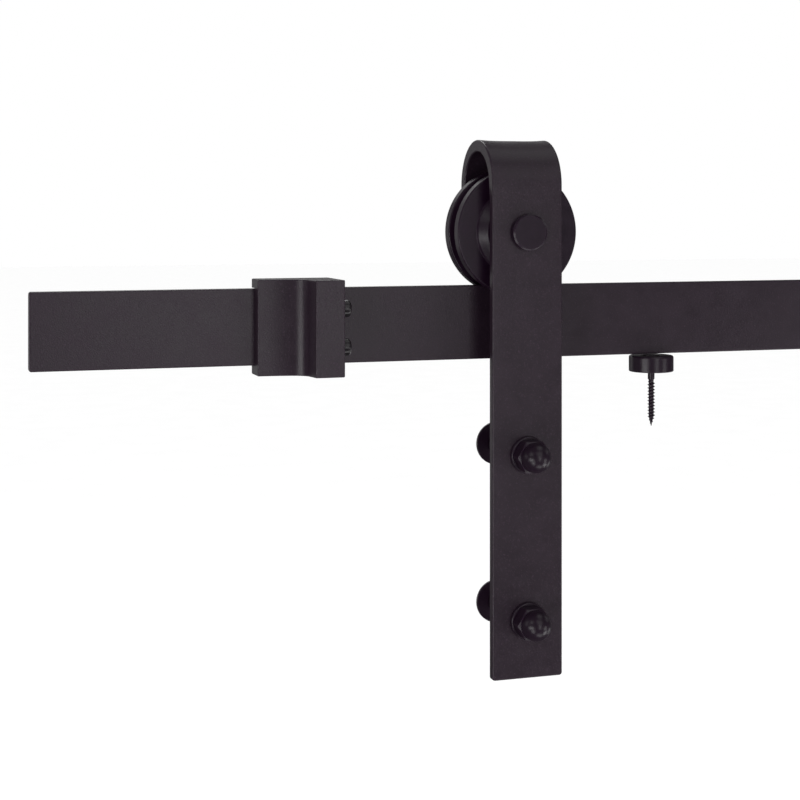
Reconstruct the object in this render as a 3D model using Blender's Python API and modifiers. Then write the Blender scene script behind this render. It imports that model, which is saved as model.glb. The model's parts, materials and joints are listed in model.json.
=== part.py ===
"""Sliding barn door hardware: a flat rail on wall standoffs, and two J-strap hangers that roll on it.

X runs along the rail, Z is up and the front is at -Y. The origin is on the wall, the plane Y = 0,
behind the middle of the rail. All lengths are in metres. "Forward" is the distance in front of the
rail's middle plane, so a piece turned round its own Z and then tipped forward has its top at the front.
"""

import math

import bmesh
import bpy
from mathutils import Matrix, Vector

# Rail and its wall fixings
RAIL_LENGTH = 0.9144
RAIL_HEIGHT = 0.040
RAIL_THICKNESS = 0.006
RAIL_EDGE = 0.0006
WALL_GAP = 0.03175
FIXING_SPACING = 0.4064
STANDOFF_RADIUS = 0.011
LAG_RADIUS = 0.004
LAG_LENGTH = 0.080
LAG_ACROSS_FLATS = 0.013
LAG_HEAD = 0.0055
LAG_POINT = 0.007
LAG_WASHER_RADIUS = 0.008
LAG_WASHER_THICKNESS = 0.0016

# Hanger straps
HANGER_SPACING = 0.397
STRAP_WIDTH = 0.040
STRAP_THICKNESS = 0.005
STRAP_EDGE = 0.0009
STRAP_TOP = 0.098
STRAP_BOTTOM = -0.189
LEG_GAP = 0.040
BACK_LEG_BELOW_AXLE = 0.020

# Wheels, bearings and axles
WHEEL_RADIUS = 0.0344
WHEEL_WIDTH = 0.0218
GROOVE_RADIUS = 0.0286
GROOVE_WIDTH = 0.0085
WHEEL_EDGE = 0.0008
HUB_WIDTH = 0.0318
HUB_BASE_RADIUS = 0.0235
HUB_RADIUS = 0.019
HUB_EDGE = 0.0010
BEARING_SHOULDER = 0.002
BEARING_RADIUS = 0.015
BEARING_WIDTH = 0.009
BEARING_BORE = 0.0053
BALL_RADIUS = 0.0024
BALL_CIRCLE = 0.010
BALLS = 8
BALL_TRACK_LIP = 0.0019
RACE_SHOULDER = 0.0016
CAGE_WIDTH = 0.0028
CAGE_THICKNESS = 0.0016
AXLE_RADIUS = 0.005
AXLE_HEAD_RADIUS = 0.0097
AXLE_HEAD = 0.004
AXLE_CHAMFER = 0.0007
AXLE_PAST_NUT = 0.0005
SPACER_RADIUS = 0.0078

# M10 door bolts with cap nuts
BOLT_RADIUS = 0.005
BOLT_HOLE_RADIUS = 0.0054
BOLT_LENGTH = 0.060
BOLT_CHAMFER = 0.0008
HEX_ACROSS_FLATS = 0.0165
HEX_FACE = 0.96  # width of a hexagon's flat face, as a share of its width across flats
BOLT_HEAD = 0.0064
THIN_NUT = 0.0045
CAP_NUT_HEX = 0.0077
CAP_NUT_LENGTH = 0.0174
CAP_DOME_RADIUS = 0.008
CAP_NECK = 0.0003
CAP_WASHER_RADIUS = 0.010
CAP_WASHER_THICKNESS = 0.002
AXLE_WASHER_THICKNESS = 0.0015
REAR_WASHER_RADIUS = 0.012
REAR_WASHER_THICKNESS = 0.002
DOOR_THICKNESS = 0.040
DOOR_BOLT_HEIGHTS = {"upper": -0.0698, "lower": -0.1582}

# End stops
STOP_OUTER_X = 0.3422
STOP_LENGTH = 0.0418
STOP_HEIGHT = 0.050
STOP_PLATE = 0.007
STOP_BEHIND_RAIL = 0.002
STOP_BLOCK_DEPTH = 0.025
STOP_FLANK_TOP = 0.0265
STOP_EDGE = 0.0006
RAMP_START = (0.0100, 0.0003)  # the plate's front, as (from its outer end, above the plate)
RAMP_END = (0.0200, 0.0022)
FILLET_MIDDLE = (0.0242, 0.0031)
FILLET_END = (0.0249, 0.0082)
SET_SCREW_RADIUS = 0.0028
SET_SCREW_SOCKET_RADIUS = 0.0017
SET_SCREW_SOCKET = 0.0025
BUMPER_RADIUS = 0.0045
BUMPER_PROUD = 0.0046
BUMPER_STEM_RADIUS = 0.0025
BUMPER_STEM = 0.006
BUMPER_DOME = ((0.55, 0.0002), (0.85, 0.0009), (1.0, 0.0020))  # (share of the radius, below the tip)
BUMPER_FORWARD = 0.0215
BUMPER_HEIGHTS = {"upper": 0.010, "lower": -0.010}

# Anti-jump discs
DISC_RADIUS = 0.0125
DISC_HEIGHT = 0.009
DISC_BELOW_RAIL = 0.0011
DISC_FROM_HANGER = 0.0849
DISC_EDGE = 0.0010
COUNTERBORE_RADIUS = 0.0055
COUNTERBORE = 0.0035
DISC_BORE = 0.0028
SCREW_RADIUS = 0.0022
SCREW_HEAD_RADIUS = 0.0050
SCREW_HEAD_TOP = 0.0004  # below the disc's top
SCREW_HEAD_EDGE = 0.0014
SCREW_HEAD_BOTTOM = 0.0032
SCREW_POINT = 0.0340
SCREW_LENGTH = 0.0400

GAP = 0.0003  # left between pieces that touch
CUT = 0.002  # how far a cutter runs past the material
WHEEL_STEPS = 36
RING_STEPS = 20
SMALL_STEPS = 14
ARCH_STEPS = 12
RAMP_STEPS = 5
FILLET_STEPS = 6
MERGE = 0.00001

RAIL_CENTRE_Y = -(WALL_GAP + RAIL_THICKNESS / 2)
RAIL_FRONT_Y = -(WALL_GAP + RAIL_THICKNESS)
AXLE_Z = RAIL_HEIGHT / 2 + GROOVE_RADIUS + GAP
STRAP_FRONT = LEG_GAP / 2 + STRAP_THICKNESS
DOOR_BACK = LEG_GAP / 2 - DOOR_THICKNESS
UNDER_BOLT_HEAD = DOOR_BACK - REAR_WASHER_THICKNESS - 2 * GAP
SPACER_LENGTH = (LEG_GAP - BEARING_WIDTH) / 2 - 2 * GAP
CAP_NUT_SEAT = STRAP_FRONT + CAP_WASHER_THICKNESS + 2 * GAP
SIDES = {"left": -1, "right": 1}
DOME_ANGLES = [math.radians(angle) for angle in (72, 54, 36, 18, 0)]

TIPPED_FORWARD = (math.pi / 2, 0.0, 0.0)
ON_EDGE = (math.pi / 2, 0.0, -math.pi / 2)


def clear_scene():
    for obj in list(bpy.data.objects):
        bpy.data.objects.remove(obj)


def new_collection(name):
    collection = bpy.data.collections.new(name)
    bpy.context.scene.collection.children.link(collection)
    return collection


def new_material(name, colour, roughness, metallic):
    material = bpy.data.materials.new(name)
    material.use_nodes = True
    shader = material.node_tree.nodes["Principled BSDF"]
    shader.inputs["Base Color"].default_value = (*colour, 1.0)
    shader.inputs["Roughness"].default_value = roughness
    shader.inputs["Metallic"].default_value = metallic
    return material


def new_object(name, data, matrix=None):
    """A helper object in the workshop collection, which the model leaves out."""
    obj = bpy.data.objects.new(name, data)
    obj.hide_render = True
    obj.display_type = "WIRE"
    if matrix is not None:
        obj.matrix_world = matrix
    workshop.objects.link(obj)
    return obj


def evaluated_mesh(obj):
    """Turn a helper with its modifiers into one welded mesh, and remove the helper."""
    graph = bpy.context.evaluated_depsgraph_get()
    mesh = bpy.data.meshes.new_from_object(obj.evaluated_get(graph))
    mesh.name = obj.name
    shape = bmesh.new()
    shape.from_mesh(mesh)
    bmesh.ops.remove_doubles(shape, verts=shape.verts, dist=MERGE)
    shape.to_mesh(mesh)
    shape.free()
    bpy.data.objects.remove(obj)
    return mesh


def turned(name, profile, steps, ring=False):
    """Turn a (radius, height) profile round Z. A ring's profile closes on itself."""
    mesh = bpy.data.meshes.new(name)
    edges = [(i, i + 1) for i in range(len(profile) - 1)]
    if ring:
        edges.append((len(profile) - 1, 0))
    mesh.from_pydata([(radius, 0.0, height) for radius, height in profile], edges, [])
    obj = new_object(name, mesh)
    screw = obj.modifiers.new("turn", "SCREW")
    screw.steps = steps
    screw.render_steps = steps
    screw.use_merge_vertices = True
    screw.merge_threshold = MERGE
    return evaluated_mesh(obj)


def tube(name, radius, bore, bottom, top, steps):
    """A washer, a spacer or a standoff."""
    return turned(name, [(bore, top), (radius, top), (radius, bottom), (bore, bottom)], steps, ring=True)


def rod(name, radius, bottom, top, steps):
    return turned(name, [(0.0, top), (radius, top), (radius, bottom), (0.0, bottom)], steps)


def box(name, size, centre=(0.0, 0.0, 0.0)):
    shape = bmesh.new()
    bmesh.ops.create_cube(shape, size=1.0)
    bmesh.ops.scale(shape, vec=size, verts=shape.verts)
    bmesh.ops.translate(shape, vec=centre, verts=shape.verts)
    mesh = bpy.data.meshes.new(name)
    shape.to_mesh(mesh)
    shape.free()
    return mesh


def extruded(name, points, thickness):
    """A flat outline in XY, as thick as asked and centred on Z = 0."""
    curve = bpy.data.curves.new(name, "CURVE")
    curve.dimensions = "2D"
    curve.fill_mode = "BOTH"
    curve.extrude = thickness / 2
    spline = curve.splines.new("POLY")
    spline.points.add(len(points) - 1)
    for point, (x, y) in zip(spline.points, points):
        point.co = (x, y, 0.0, 1.0)
    spline.use_cyclic_u = True
    return evaluated_mesh(new_object(name, curve))


def rounded(mesh, width):
    """Round every edge of a mesh that is sharper than 30 degrees."""
    obj = new_object(mesh.name, mesh)
    bevel = obj.modifiers.new("rounded edges", "BEVEL")
    bevel.width = width
    bevel.segments = 2
    bevel.limit_method = "ANGLE"
    bevel.angle_limit = math.radians(30)
    obj.modifiers.new("flat faces", "TRIANGULATE")
    return evaluated_mesh(obj)


def combined(base, *steps, solver="EXACT"):
    """Apply Booleans to a mesh, one for each (operation, mesh, matrix)."""
    obj = new_object(base.name, base)
    helpers = []
    for operation, mesh, matrix in steps:
        helper = new_object(mesh.name, mesh, matrix)
        boolean = obj.modifiers.new(mesh.name, "BOOLEAN")
        boolean.operation = operation
        boolean.solver = solver
        boolean.object = helper
        helpers.append(helper)
    bpy.context.view_layer.update()
    mesh = evaluated_mesh(obj)
    for helper in helpers:
        bpy.data.objects.remove(helper)
    return mesh


def place(name, mesh, material, parent, location=(0.0, 0.0, 0.0), rotation=(0.0, 0.0, 0.0)):
    """Add one named sub-part. Copies of a piece share its mesh."""
    if not mesh.materials:
        mesh.materials.append(material)
        mesh.shade_smooth()
        mesh.set_sharp_from_angle(angle=math.radians(32))
    obj = bpy.data.objects.new(name, mesh)
    obj.parent = parent
    obj.location = location
    obj.rotation_euler = rotation
    parts.objects.link(obj)


def new_axis(name, location, parent=None):
    """An empty that marks where a moving group turns or slides."""
    empty = bpy.data.objects.new(name, None)
    empty.empty_display_size = 0.05
    empty.location = location
    empty.parent = parent
    parts.objects.link(empty)
    return empty


def arc(radius, centre_y, start, end, steps):
    """Points on a circle whose centre is (0, centre_y), from one angle to another in degrees."""
    angles = [math.radians(start + (end - start) * i / steps) for i in range(steps + 1)]
    return [(radius * math.cos(a), centre_y + radius * math.sin(a)) for a in angles]


def quadratic(start, control, end, steps):
    """Points on a quadratic Bezier curve between 2D vectors."""
    points = []
    for i in range(steps + 1):
        first = Vector(start).lerp(control, i / steps)
        second = Vector(control).lerp(end, i / steps)
        points.append(first.lerp(second, i / steps))
    return points


def hex_head(name, across_flats, bottom, top, chamfered_top=True):
    """A hexagon with a corner at +X, whose free face is chamfered at 30 degrees."""
    corner = across_flats / 2 / math.cos(math.pi / 6)
    middle = (bottom + top) / 2
    shape = bmesh.new()
    bmesh.ops.create_cone(
        shape,
        cap_ends=True,
        segments=6,
        radius1=corner,
        radius2=corner,
        depth=top - bottom,
        matrix=Matrix.Translation((0.0, 0.0, middle)) @ Matrix.Rotation(math.pi / 2, 4, "Z"),
    )
    mesh = bpy.data.meshes.new(name)
    shape.to_mesh(mesh)
    shape.free()
    face = across_flats / 2 * HEX_FACE
    outside = corner + CUT
    drop = (outside - face) * math.tan(math.radians(30))
    if chamfered_top:
        upper = [(0.0, top), (face, top), (outside, top - drop)]
        lower = [(outside, bottom - CUT), (0.0, bottom - CUT)]
    else:
        upper = [(0.0, top + CUT), (outside, top + CUT)]
        lower = [(outside, bottom + drop), (face, bottom), (0.0, bottom)]
    return combined(mesh, ("INTERSECT", turned("chamfer", upper + lower, SMALL_STEPS), Matrix()))


def rail_mesh():
    bar = rounded(box("rail", (RAIL_LENGTH, RAIL_THICKNESS, RAIL_HEIGHT)), RAIL_EDGE)
    hole = rod("fixing_hole", LAG_RADIUS + 2 * GAP, -RAIL_THICKNESS, RAIL_THICKNESS, SMALL_STEPS)
    tip = Matrix.Rotation(math.pi / 2, 4, "X")
    holes = [Matrix.Translation((side * FIXING_SPACING / 2, 0.0, 0.0)) @ tip for side in SIDES.values()]
    return combined(bar, *(("DIFFERENCE", hole, matrix) for matrix in holes))


def lag_bolt_mesh():
    """The origin is under the head and the point is at the bottom."""
    head = hex_head("lag_bolt", LAG_ACROSS_FLATS, 0.0, LAG_HEAD)
    profile = [
        (0.0, LAG_HEAD / 2),
        (LAG_RADIUS, LAG_HEAD / 2),
        (LAG_RADIUS, LAG_POINT - LAG_LENGTH),
        (0.0, -LAG_LENGTH),
    ]
    return combined(head, ("UNION", turned("shank", profile, SMALL_STEPS), Matrix()))


def stop_outline(side):
    """Plan of an end stop, from its outer end inwards, with Y = 0 on the rail's front face."""
    back = -RAIL_THICKNESS - STOP_BEHIND_RAIL
    plate = Vector((0.0, STOP_PLATE))
    start, end, middle, top = (plate + Vector(p) for p in (RAMP_START, RAMP_END, FILLET_MIDDLE, FILLET_END))
    points = [(0.0, back)]
    points += quadratic(plate, start, end, RAMP_STEPS)
    points += quadratic(end, middle, top, FILLET_STEPS)[1:]
    points += [(STOP_FLANK_TOP, STOP_BLOCK_DEPTH), (STOP_LENGTH, STOP_BLOCK_DEPTH), (STOP_LENGTH, back)]
    return [(-side * x, -forward) for x, forward in points]


def stop_mesh(side):
    """An end stop with the channel that wraps the rail, its bumper sockets and its set screw holes."""
    body = rounded(extruded("stop_body", stop_outline(side), STOP_HEIGHT), STOP_EDGE)
    channel_depth = RAIL_THICKNESS + STOP_BEHIND_RAIL + CUT
    channel = box(
        "channel",
        (2 * STOP_LENGTH + 4 * CUT, channel_depth + GAP, RAIL_HEIGHT + 2 * GAP),
        (0.0, (channel_depth - GAP) / 2, 0.0),
    )
    socket = rod("socket", BUMPER_STEM_RADIUS + GAP, -BUMPER_STEM - GAP, CUT, SMALL_STEPS)
    screw_hole = rod("screw_hole", SET_SCREW_RADIUS + GAP, -STOP_HEIGHT / 2 - CUT, 0.0, SMALL_STEPS)
    inner_face = -side * STOP_LENGTH
    bumper_y = -(BUMPER_FORWARD - RAIL_THICKNESS / 2)
    inwards = Matrix.Rotation(-side * math.pi / 2, 4, "Y")
    steps = [("DIFFERENCE", channel, Matrix())]
    for height in BUMPER_HEIGHTS.values():
        steps.append(("DIFFERENCE", socket, Matrix.Translation((inner_face, bumper_y, height)) @ inwards))
    for x in set_screw_places().values():
        steps.append(("DIFFERENCE", screw_hole, Matrix.Translation((-side * x, RAIL_THICKNESS / 2, 0.0))))
    # The exact solver loses most of this body at the second screw hole, so it is cut as a manifold.
    return combined(body, *steps, solver="MANIFOLD")


def set_screw_places():
    """How far each set screw is from the stop's outer end."""
    return {"outer": STOP_LENGTH / 4, "inner": STOP_LENGTH * 3 / 4}


def bumper_mesh():
    """A push-in rubber button: the origin is on the stop's face and the domed end is at the top."""
    dome = [(0.0, BUMPER_PROUD)]
    dome += [(share * BUMPER_RADIUS, BUMPER_PROUD - drop) for share, drop in BUMPER_DOME]
    stem = [
        (BUMPER_RADIUS, GAP),
        (BUMPER_STEM_RADIUS, GAP),
        (BUMPER_STEM_RADIUS, -BUMPER_STEM),
        (0.0, -BUMPER_STEM),
    ]
    return turned("bumper", dome + stem, SMALL_STEPS)


def set_screw_mesh():
    """A grub screw that stands up, with its hexagon socket underneath. Its origin is on the rail's middle."""
    bottom = -STOP_HEIGHT / 2 - GAP
    top = -RAIL_HEIGHT / 2 - GAP
    body = rod("set_screw", SET_SCREW_RADIUS, bottom, top, SMALL_STEPS)
    socket = rod("socket", SET_SCREW_SOCKET_RADIUS, bottom - CUT, bottom + SET_SCREW_SOCKET, 6)
    return combined(body, ("DIFFERENCE", socket, Matrix()))


def strap_outline():
    """Side view of the J-strap. X is forward and Y is the height above the axle."""
    inner = LEG_GAP / 2
    arch = STRAP_TOP - AXLE_Z - STRAP_FRONT
    bottom = STRAP_BOTTOM - AXLE_Z
    points = [(STRAP_FRONT, bottom)]
    points += arc(STRAP_FRONT, arch, 0, 180, ARCH_STEPS)
    points += [(-STRAP_FRONT, -BACK_LEG_BELOW_AXLE), (-inner, -BACK_LEG_BELOW_AXLE)]
    points += arc(inner, arch, 180, 0, ARCH_STEPS)
    points += [(inner, bottom)]
    return points


def strap_mesh():
    bar = rounded(extruded("hanger_strap", strap_outline(), STRAP_WIDTH), STRAP_EDGE)
    hole = rod("bolt_hole", BOLT_HOLE_RADIUS, LEG_GAP / 2 - CUT, STRAP_FRONT + CUT, SMALL_STEPS)
    axle_hole = rod("axle_hole", BOLT_HOLE_RADIUS, -STRAP_FRONT - CUT, STRAP_FRONT + CUT, SMALL_STEPS)
    forward = Matrix.Rotation(math.pi / 2, 4, "Y")
    steps = [("DIFFERENCE", axle_hole, forward)]
    for height in DOOR_BOLT_HEIGHTS.values():
        steps.append(("DIFFERENCE", hole, Matrix.Translation((0.0, height - AXLE_Z, 0.0)) @ forward))
    return combined(bar, *steps)


def wheel_mesh():
    """A grooved wheel with a raised hub. The bearing goes in from the front, up to a shoulder."""
    face = WHEEL_WIDTH / 2
    hub = HUB_WIDTH / 2
    lip = GROOVE_WIDTH / 2
    seat = BEARING_RADIUS + GAP
    half = [
        (HUB_RADIUS - HUB_EDGE, hub),
        (HUB_RADIUS + HUB_EDGE / 2, hub - HUB_EDGE),
        (HUB_BASE_RADIUS - HUB_EDGE, face + HUB_EDGE),
        (HUB_BASE_RADIUS, face),
        (WHEEL_RADIUS - WHEEL_EDGE, face),
        (WHEEL_RADIUS, face - WHEEL_EDGE),
        (WHEEL_RADIUS, lip + WHEEL_EDGE),
        (WHEEL_RADIUS - WHEEL_EDGE, lip),
        (GROOVE_RADIUS, lip - WHEEL_EDGE / 2),
    ]
    other_half = [(radius, -height) for radius, height in reversed(half)]
    shoulder = -BEARING_WIDTH / 2 - GAP
    inner = seat - BEARING_SHOULDER
    bore = [(inner, -hub), (inner, shoulder), (seat, shoulder), (seat, hub)]
    return turned("wheel", half + other_half + bore, WHEEL_STEPS, ring=True)


def race_mesh(name, plain, shoulder, groove):
    """A bearing race: plain on one side, with a groove for the balls on the other."""
    outer = plain > shoulder
    half_width = BEARING_WIDTH / 2 if outer else -BEARING_WIDTH / 2
    lip = -BALL_TRACK_LIP if outer else BALL_TRACK_LIP
    profile = [
        (shoulder, half_width),
        (plain, half_width),
        (plain, -half_width),
        (shoulder, -half_width),
        (shoulder, lip),
        (groove, lip / 2),
        (groove, -lip / 2),
        (shoulder, -lip),
    ]
    return turned(name, profile, RING_STEPS, ring=True)


def ball_cage_mesh():
    """A pressed ring that holds the balls, joined to them as one body."""
    outside = BALL_CIRCLE + CAGE_THICKNESS / 2
    inside = BALL_CIRCLE - CAGE_THICKNESS / 2
    ring = tube("ball_cage", outside, inside, -CAGE_WIDTH / 2, CAGE_WIDTH / 2, RING_STEPS)
    shape = bmesh.new()
    bmesh.ops.create_uvsphere(shape, u_segments=8, v_segments=6, radius=BALL_RADIUS)
    ball = bpy.data.meshes.new("ball")
    shape.to_mesh(ball)
    shape.free()
    steps = []
    for i in range(BALLS):
        turn = Matrix.Rotation(2 * math.pi * i / BALLS, 4, "Z")
        steps.append(("UNION", ball, turn @ Matrix.Translation((BALL_CIRCLE, 0.0, 0.0))))
    return combined(ring, *steps)


def axle_bolt_mesh():
    """The origin is at the middle of the wheel and the flat round head is at the top."""
    under_head = STRAP_FRONT + GAP
    top = under_head + AXLE_HEAD
    tail = -(STRAP_FRONT + AXLE_WASHER_THICKNESS + THIN_NUT + 2 * GAP + AXLE_PAST_NUT)
    profile = [
        (0.0, top),
        (AXLE_HEAD_RADIUS - AXLE_CHAMFER, top),
        (AXLE_HEAD_RADIUS, top - AXLE_CHAMFER),
        (AXLE_HEAD_RADIUS, under_head),
        (AXLE_RADIUS, under_head),
        (AXLE_RADIUS, tail + AXLE_CHAMFER),
        (AXLE_RADIUS - AXLE_CHAMFER, tail),
        (0.0, tail),
    ]
    return turned("axle_bolt", profile, RING_STEPS)


def axle_nut_mesh():
    """A thin hexagon nut whose chamfered face looks at the wall."""
    body = hex_head("axle_nut", HEX_ACROSS_FLATS, -THIN_NUT, 0.0, chamfered_top=False)
    bore = rod("bore", AXLE_RADIUS + GAP, -THIN_NUT - CUT, CUT, SMALL_STEPS)
    return combined(body, ("DIFFERENCE", bore, Matrix()))


def door_bolt_mesh():
    """The origin is under the head, which is at the bottom, at the back of the door."""
    head = hex_head("door_bolt", HEX_ACROSS_FLATS, -BOLT_HEAD, 0.0, chamfered_top=False)
    profile = [
        (0.0, BOLT_LENGTH),
        (BOLT_RADIUS - BOLT_CHAMFER, BOLT_LENGTH),
        (BOLT_RADIUS, BOLT_LENGTH - BOLT_CHAMFER),
        (BOLT_RADIUS, -BOLT_HEAD / 2),
        (0.0, -BOLT_HEAD / 2),
    ]
    return combined(head, ("UNION", turned("shank", profile, SMALL_STEPS), Matrix()))


def cap_nut_mesh():
    """An acorn nut. The origin is on its open face, and a neck joins the hexagon to the dome."""
    hexagon = hex_head("cap_nut", HEX_ACROSS_FLATS, 0.0, CAP_NUT_HEX)
    centre = CAP_NUT_LENGTH - CAP_DOME_RADIUS
    profile = [(0.0, CAP_NUT_LENGTH)]
    profile += [(CAP_DOME_RADIUS * math.cos(a), centre + CAP_DOME_RADIUS * math.sin(a)) for a in DOME_ANGLES]
    profile += [(CAP_DOME_RADIUS - CAP_NECK, CAP_NUT_HEX / 2), (0.0, CAP_NUT_HEX / 2)]
    dome = turned("dome", profile, SMALL_STEPS)
    bore_end = UNDER_BOLT_HEAD + BOLT_LENGTH - CAP_NUT_SEAT + GAP
    bore = rod("bore", BOLT_RADIUS + GAP, -CUT, bore_end, SMALL_STEPS)
    return combined(hexagon, ("UNION", dome, Matrix()), ("DIFFERENCE", bore, Matrix()))


def disc_mesh():
    """An anti-jump disc with a counterbore for its screw. The origin is on its top."""
    profile = [
        (COUNTERBORE_RADIUS, 0.0),
        (DISC_RADIUS - DISC_EDGE, 0.0),
        (DISC_RADIUS, -DISC_EDGE),
        (DISC_RADIUS, DISC_EDGE / 2 - DISC_HEIGHT),
        (DISC_RADIUS - DISC_EDGE / 2, -DISC_HEIGHT),
        (DISC_BORE, -DISC_HEIGHT),
        (DISC_BORE, -COUNTERBORE),
        (COUNTERBORE_RADIUS, -COUNTERBORE),
    ]
    return turned("anti_jump_disc", profile, RING_STEPS, ring=True)


def disc_screw_mesh():
    """A pan head wood screw that lies in the disc's counterbore and goes down into the door.

    Its origin is on the disc's top, like the disc's own.
    """
    profile = [
        (0.0, -SCREW_HEAD_TOP),
        (0.8 * SCREW_HEAD_RADIUS, -1.5 * SCREW_HEAD_TOP),
        (SCREW_HEAD_RADIUS, -SCREW_HEAD_EDGE),
        (SCREW_HEAD_RADIUS, -SCREW_HEAD_BOTTOM),
        (SCREW_RADIUS, -SCREW_HEAD_BOTTOM),
        (SCREW_RADIUS, -SCREW_POINT),
        (0.0, -SCREW_LENGTH),
    ]
    return turned("anti_jump_screw", profile, SMALL_STEPS)


def add_track(shapes, finishes):
    """The rail with everything that holds it to the wall."""
    place("rail", shapes["rail"], finishes["powder_coat"], None, (0.0, RAIL_CENTRE_Y, 0.0))
    washer_y = RAIL_FRONT_Y - GAP
    stack = {
        "wall_standoff": ("powder_coat", 0.0),
        "wall_bolt_washer": ("black_steel", washer_y),
        "wall_bolt": ("black_steel", washer_y - LAG_WASHER_THICKNESS - GAP),
    }
    for name, side in SIDES.items():
        for piece, (finish, y) in stack.items():
            location = (side * FIXING_SPACING / 2, y, 0.0)
            place(f"{name}_{piece}", shapes[piece], finishes[finish], None, location, TIPPED_FORWARD)


def add_stop(name, side, shapes, finishes):
    """An end stop with its bumpers and set screws."""
    axis = new_axis(f"{name}_stop", (side * STOP_OUTER_X, RAIL_FRONT_Y, 0.0))
    place(f"{name}_stop_body", shapes[f"{name}_stop"], finishes["powder_coat"], axis)
    inwards = (0.0, -side * math.pi / 2, 0.0)
    bumper_y = RAIL_THICKNESS / 2 - BUMPER_FORWARD
    for level, height in BUMPER_HEIGHTS.items():
        place(
            f"{name}_stop_{level}_bumper",
            shapes["bumper"],
            finishes["rubber"],
            axis,
            (-side * STOP_LENGTH, bumper_y, height),
            inwards,
        )
    for position, x in set_screw_places().items():
        place(
            f"{name}_stop_{position}_set_screw",
            shapes["set_screw"],
            finishes["black_steel"],
            axis,
            (-side * x, RAIL_THICKNESS / 2, 0.0),
        )


def add_wheel(name, hanger, shapes, finishes):
    """A wheel on its bearing. The two axes lie on the axle, where the wheel and the balls turn."""
    wheel_axis = new_axis(f"{name}_wheel_axis", (0.0, 0.0, 0.0), hanger)
    cage_axis = new_axis(f"{name}_ball_cage_axis", (0.0, 0.0, 0.0), hanger)
    steel = finishes["bearing_steel"]
    place(f"{name}_wheel", shapes["wheel"], finishes["wheel_black"], wheel_axis, rotation=TIPPED_FORWARD)
    for piece, axis in (("outer_race", wheel_axis), ("ball_cage", cage_axis), ("inner_race", hanger)):
        place(f"{name}_bearing_{piece}", shapes[piece], steel, axis, rotation=TIPPED_FORWARD)


def add_door_fixings(name, hanger, shapes, finishes):
    """The bolts, washers and cap nuts that clamp the strap to the door."""
    stack = {
        "door_bolt": UNDER_BOLT_HEAD,
        "rear_washer": DOOR_BACK - GAP - REAR_WASHER_THICKNESS,
        "cap_nut_washer": STRAP_FRONT + GAP,
        "cap_nut": CAP_NUT_SEAT,
    }
    for level, height in DOOR_BOLT_HEIGHTS.items():
        for piece, forward in stack.items():
            location = (0.0, -forward, height - AXLE_Z)
            steel = finishes["black_steel"]
            place(f"{name}_{level}_{piece}", shapes[piece], steel, hanger, location, TIPPED_FORWARD)


def add_hanger(name, side, shapes, finishes):
    """Everything that slides along the rail with one strap."""
    steel = finishes["black_steel"]
    hanger = new_axis(f"{name}_hanger", (side * HANGER_SPACING / 2, RAIL_CENTRE_Y, AXLE_Z))
    place(f"{name}_hanger_strap", shapes["strap"], finishes["powder_coat"], hanger, rotation=ON_EDGE)
    add_wheel(name, hanger, shapes, finishes)
    place(f"{name}_axle_bolt", shapes["axle_bolt"], steel, hanger, rotation=TIPPED_FORWARD)
    stack = {
        "front_spacer": ("spacer", BEARING_WIDTH / 2 + GAP),
        "rear_spacer": ("spacer", -LEG_GAP / 2 + GAP),
        "axle_washer": ("axle_washer", -STRAP_FRONT - GAP - AXLE_WASHER_THICKNESS),
        "axle_nut": ("axle_nut", -STRAP_FRONT - AXLE_WASHER_THICKNESS - 2 * GAP),
    }
    for piece, (shape, forward) in stack.items():
        place(f"{name}_{piece}", shapes[shape], steel, hanger, (0.0, -forward, 0.0), TIPPED_FORWARD)
    add_door_fixings(name, hanger, shapes, finishes)
    disc = (-side * DISC_FROM_HANGER, 0.0, -RAIL_HEIGHT / 2 - DISC_BELOW_RAIL - AXLE_Z)
    place(f"{name}_anti_jump_disc", shapes["disc"], steel, hanger, disc)
    place(f"{name}_anti_jump_screw", shapes["disc_screw"], steel, hanger, disc)


def washer(name, radius, bore, thickness):
    return tube(name, radius, bore, 0.0, thickness, RING_STEPS)


def make_shapes():
    """Every distinct piece, once."""
    bore = BEARING_BORE
    outer_track = BALL_CIRCLE + BALL_RADIUS + GAP
    inner_track = BALL_CIRCLE - BALL_RADIUS - GAP
    return {
        "rail": rail_mesh(),
        "wall_standoff": washer("standoff", STANDOFF_RADIUS, LAG_RADIUS + 2 * GAP, WALL_GAP - GAP),
        "wall_bolt_washer": washer("lag_washer", LAG_WASHER_RADIUS, LAG_RADIUS + GAP, LAG_WASHER_THICKNESS),
        "wall_bolt": lag_bolt_mesh(),
        "left_stop": stop_mesh(-1),
        "right_stop": stop_mesh(1),
        "bumper": bumper_mesh(),
        "set_screw": set_screw_mesh(),
        "strap": strap_mesh(),
        "wheel": wheel_mesh(),
        "outer_race": race_mesh("outer_race", BEARING_RADIUS, BALL_CIRCLE + RACE_SHOULDER, outer_track),
        "inner_race": race_mesh("inner_race", bore, BALL_CIRCLE - RACE_SHOULDER, inner_track),
        "ball_cage": ball_cage_mesh(),
        "axle_bolt": axle_bolt_mesh(),
        "spacer": tube("spacer", SPACER_RADIUS, bore, 0.0, SPACER_LENGTH, SMALL_STEPS),
        "axle_washer": washer("axle_washer", CAP_WASHER_RADIUS, bore, AXLE_WASHER_THICKNESS),
        "axle_nut": axle_nut_mesh(),
        "door_bolt": door_bolt_mesh(),
        "rear_washer": washer("rear_washer", REAR_WASHER_RADIUS, bore, REAR_WASHER_THICKNESS),
        "cap_nut_washer": washer("cap_nut_washer", CAP_WASHER_RADIUS, bore, CAP_WASHER_THICKNESS),
        "cap_nut": cap_nut_mesh(),
        "disc": disc_mesh(),
        "disc_screw": disc_screw_mesh(),
    }


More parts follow.
